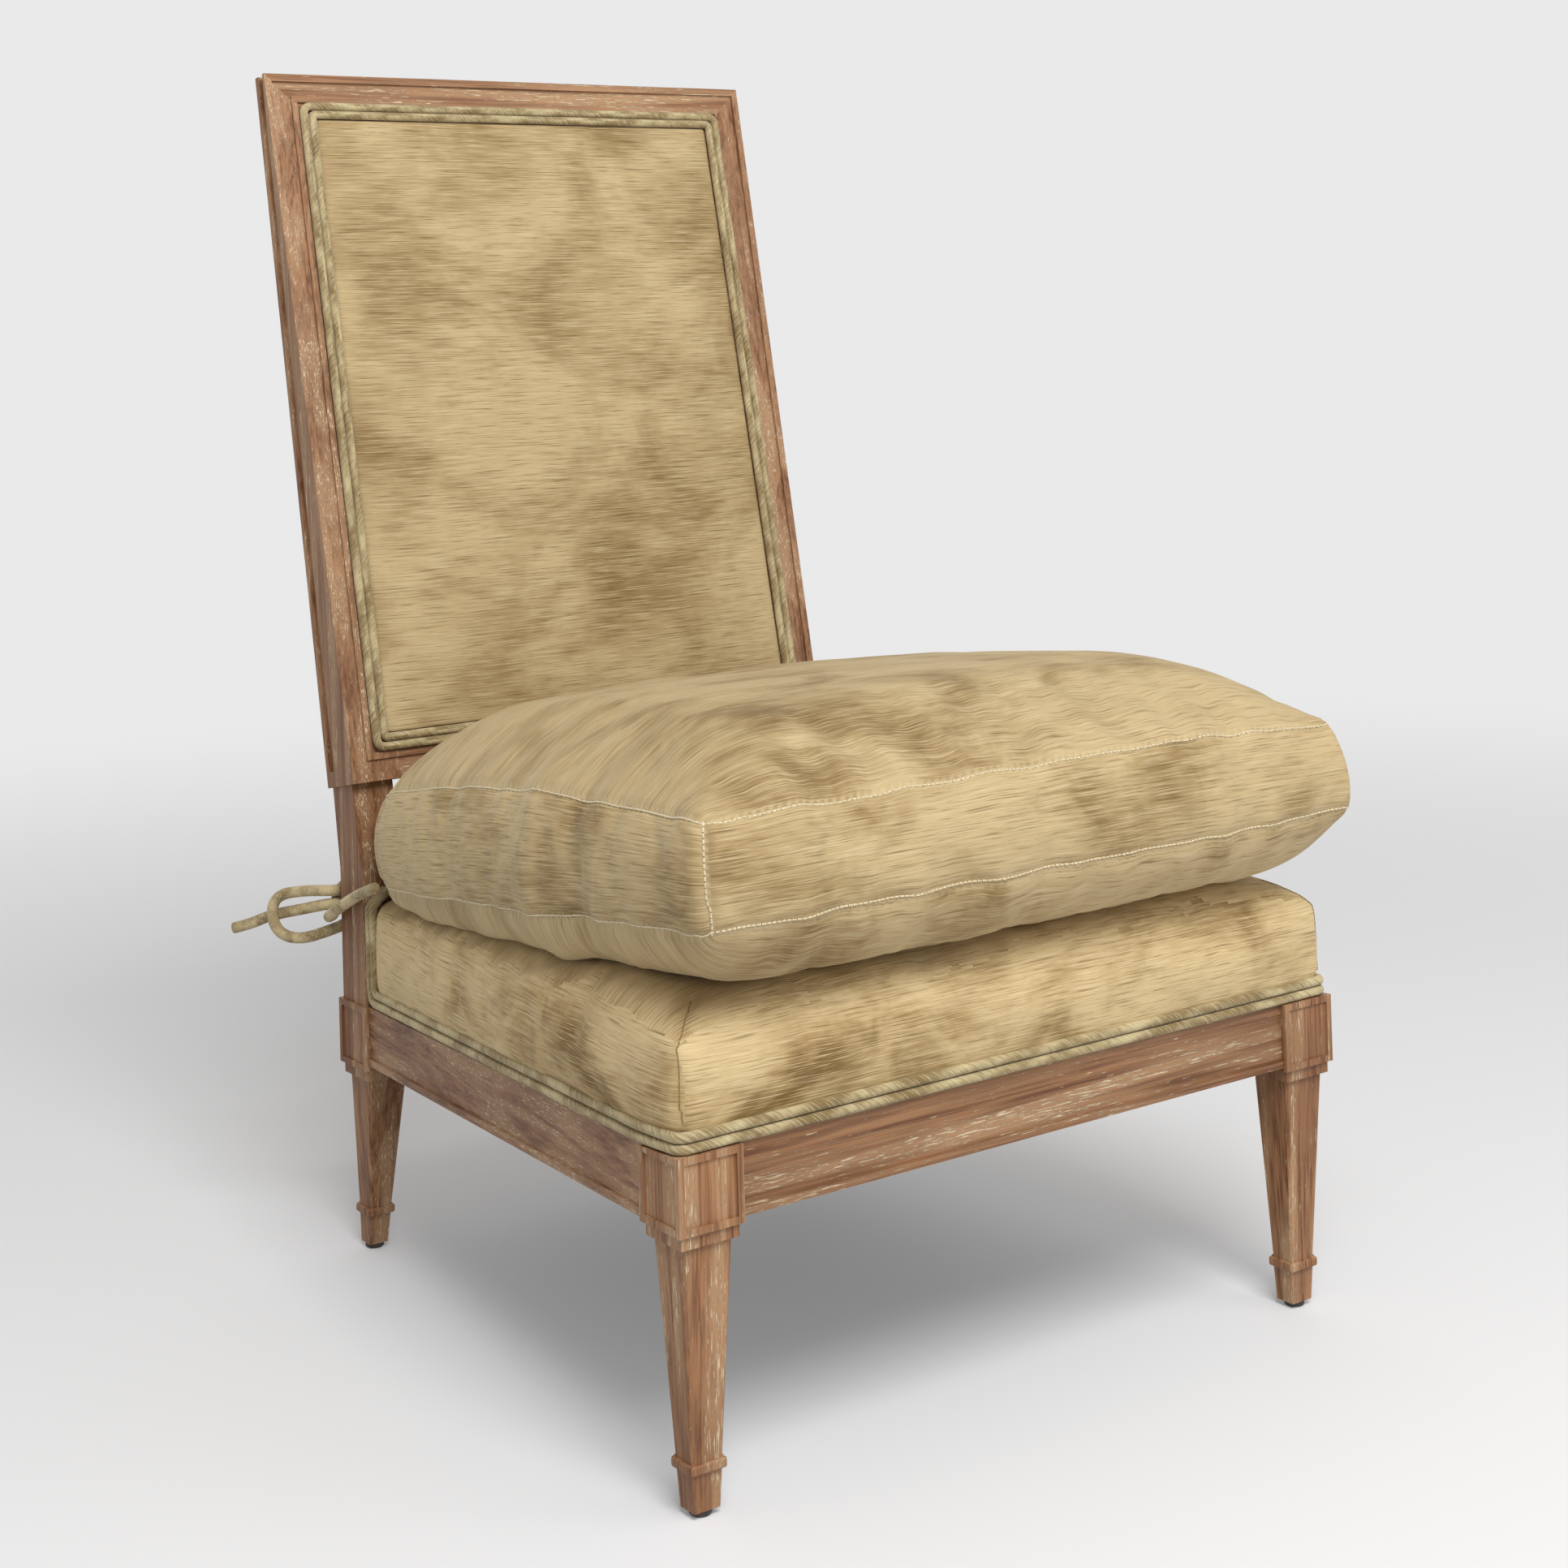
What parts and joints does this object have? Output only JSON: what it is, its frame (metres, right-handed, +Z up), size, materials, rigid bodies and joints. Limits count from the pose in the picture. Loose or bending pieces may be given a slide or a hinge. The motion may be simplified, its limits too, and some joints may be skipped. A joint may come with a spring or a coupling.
{
  "type": "slipper chair",
  "caption": "Low slipper chair with a limed oak frame, a raked square back, a tight seat and a loose boxed velvet cushion tied to the rear posts",
  "frame": {"origin": "centre of the chair's footprint box, at floor level", "axes": "+Z up, -Y is the chair's front, +X its right as seen from the front"},
  "size_m": [0.545, 0.6851, 0.9025],
  "materials": {
    "limed_oak": "limed oak, open grain filled pale, satin",
    "brace_wood": "plain sawn hardwood",
    "velvet": "olive gold ribbed velvet, lightly crushed",
    "welt_velvet": "velvet covered cord",
    "padding": "foam and cotton felt",
    "jute": "woven jute",
    "lining": "black cambric",
    "glide": "dark hard plastic",
    "steel": "zinc plated steel"
  },
  "bodies": {
    "root": {"front_leg_left": "limed_oak", "front_leg_right": "limed_oak", "rear_leg_left": "limed_oak", "rear_leg_right": "limed_oak", "front_rail": "limed_oak", "rear_rail": "limed_oak", "side_rail_left": "limed_oak", "side_rail_right": "limed_oak", "back_top_rail": "limed_oak", "back_bottom_rail": "limed_oak", "front_brace_left": "brace_wood", "front_brace_right": "brace_wood", "rear_brace_left": "brace_wood", "rear_brace_right": "brace_wood", "seat_cover": "velvet", "back_cover": "velvet", "outside_back": "velvet", "tie_band_left": "velvet", "tie_band_right": "velvet", "tie_bow_left": "velvet", "tie_bow_right": "velvet", "seat_welt": "welt_velvet", "back_welt": "welt_velvet", "outside_back_welt": "welt_velvet", "seat_pad": "padding", "back_pad": "padding", "seat_webbing": "jute", "seat_hessian": "jute", "back_webbing": "jute", "back_hessian": "jute", "dust_cover": "lining", "front_glide_left": "glide", "front_glide_right": "glide", "rear_glide_left": "glide", "rear_glide_right": "glide", "brace_screws": "steel", "lining_tacks": "steel"},
    "cushion": {"cushion_case": "velvet", "cushion_filling": "padding"}
  },
  "joints": [
    {"name": "cushion_lift", "type": "hinge", "parent": "root", "child": "cushion", "pos_m": [0, 0.19135, 0.2886], "axis": [-1, 0, 0], "range_deg": [0, 8]}
  ]
}
